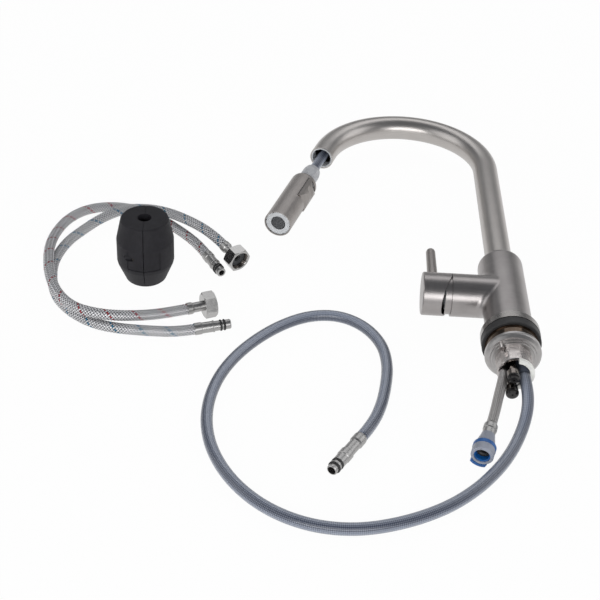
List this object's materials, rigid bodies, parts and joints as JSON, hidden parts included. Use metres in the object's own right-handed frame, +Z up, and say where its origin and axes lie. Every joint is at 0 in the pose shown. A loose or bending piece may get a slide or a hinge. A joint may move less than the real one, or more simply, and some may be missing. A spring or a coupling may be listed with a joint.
{
  "type": "kitchen mixer tap",
  "caption": "Kitchen mixer tap with a swivel arch spout, pull-out spray head, side lever, counterweight, braided supply hoses and a hose connector.",
  "frame": {"origin": "centre of the footprint of the tap and its counterweight, on the bench they lie on", "axes": "+Z up from the bench and along the counterweight's bore, +Y from the tap's deck seat along its body to the top of the spout, +X towards the back of the tap"},
  "size_m": [0.5143, 0.6834, 0.073],
  "materials": {
    "steel_brushed": "brushed",
    "nickel": "plated",
    "steel_polished": "polished",
    "steel": "satin",
    "steel_braid": "braided",
    "brass_inner": "machined",
    "rubber_black": "matte",
    "plastic_black": "matte",
    "plastic_grey": "matte",
    "plastic_pale": "satin",
    "plastic_white": "satin",
    "plastic_blue": "satin",
    "hose_grey": "fine ribbed",
    "hose_braid": "braided",
    "ceramic_white": "smooth",
    "iron_black": "plastic coated"
  },
  "bodies": {
    "tap_body": {"body_shell": "steel_brushed", "base_ring": "steel_brushed", "base_gasket": "rubber_black", "steel_washer": "steel", "spacer_ring": "steel_polished", "clamp_nut": "nickel", "jack_screws": "steel", "threaded_shank": "nickel", "hose_guide": "plastic_white", "valve_core": "brass_inner", "outlet_tail": "steel", "inlet_tail_hot": "steel", "inlet_tail_cold": "steel", "inlet_cap_hot": "plastic_black", "inlet_cap_cold": "plastic_black", "cartridge_body": "plastic_white", "cartridge_nut": "brass_inner", "glide_ring_low": "plastic_white", "glide_ring_high": "plastic_white", "pull_hose_loop": "hose_grey", "pull_hose_body": "hose_grey", "pull_hose_ferrule": "steel", "pull_hose_plug": "nickel", "pull_hose_rings": "rubber_black", "outlet_hose": "hose_braid", "outlet_ferrule": "steel", "outlet_socket": "plastic_grey", "outlet_clip": "plastic_blue", "weight_half_right": "iron_black", "weight_half_left": "iron_black", "weight_screws": "steel", "supply_red_hose": "steel_braid", "supply_red_ferrule": "nickel", "supply_red_washer": "rubber_black", "supply_red_tail": "nickel", "supply_red_rings": "rubber_black", "supply_blue_hose": "steel_braid", "supply_blue_ferrule": "nickel", "supply_blue_washer": "rubber_black", "supply_blue_tail": "nickel", "supply_blue_rings": "rubber_black"},
    "spout": {"spout_tube": "steel_brushed", "spout_collar": "brass_inner", "mouth_bush": "plastic_pale", "pull_hose_spout": "hose_grey", "pull_hose_reach": "hose_grey"},
    "handle_rotor": {"cartridge_dome": "plastic_pale", "handle_sleeve": "steel_brushed"},
    "handle": {"handle_cap": "steel_brushed", "lever_pin": "steel_brushed", "cartridge_stem": "ceramic_white"},
    "head": {"head_shell": "steel_brushed", "head_core": "plastic_pale", "face_ring": "plastic_pale", "aerator": "plastic_grey", "button_pin": "steel"},
    "rocker": {"spray_button": "steel_brushed"},
    "hot_nut": {"supply_red_nut": "nickel"},
    "cold_nut": {"supply_blue_nut": "nickel"}
  },
  "joints": [
    {"name": "spout_swivel", "type": "hinge", "parent": "tap_body", "child": "spout", "pos_m": [0.1864, 0, 0.0293], "axis": [0, 1, 0], "continuous": true},
    {"name": "handle_turn", "type": "hinge", "parent": "tap_body", "child": "handle_rotor", "pos_m": [0.1284, -0.10945, 0.0293], "axis": [-1, 0, 0], "range_deg": [-45, 45]},
    {"name": "handle_lift", "type": "hinge", "parent": "handle_rotor", "child": "handle", "pos_m": [0.1284, -0.10945, 0.0293], "axis": [0, 0, 1], "range_deg": [0, 20]},
    {"name": "head_slide", "type": "slide", "parent": "spout", "child": "head", "axis": [-0.284, -0.9588, 0], "range_m": [-0.062, 0.04], "deforming": ["pull_hose_reach"]},
    {"name": "rocker_tilt", "type": "hinge", "parent": "head", "child": "rocker", "pos_m": [-0.02483, 0.06414, 0.03175], "axis": [-0.2643, 0.0783, 0.9613], "range_deg": [0, 5]},
    {"name": "supply_nut_hot_spin", "type": "hinge", "parent": "tap_body", "child": "hot_nut", "pos_m": [-0.11389, -0.12654, 0.01226], "axis": [0.9135, 0.4068, 0.0071], "continuous": true},
    {"name": "supply_nut_cold_spin", "type": "hinge", "parent": "tap_body", "child": "cold_nut", "pos_m": [-0.09198, -0.04135, 0.01382], "axis": [0.6315, -0.7672, -0.1121], "continuous": true}
  ]
}
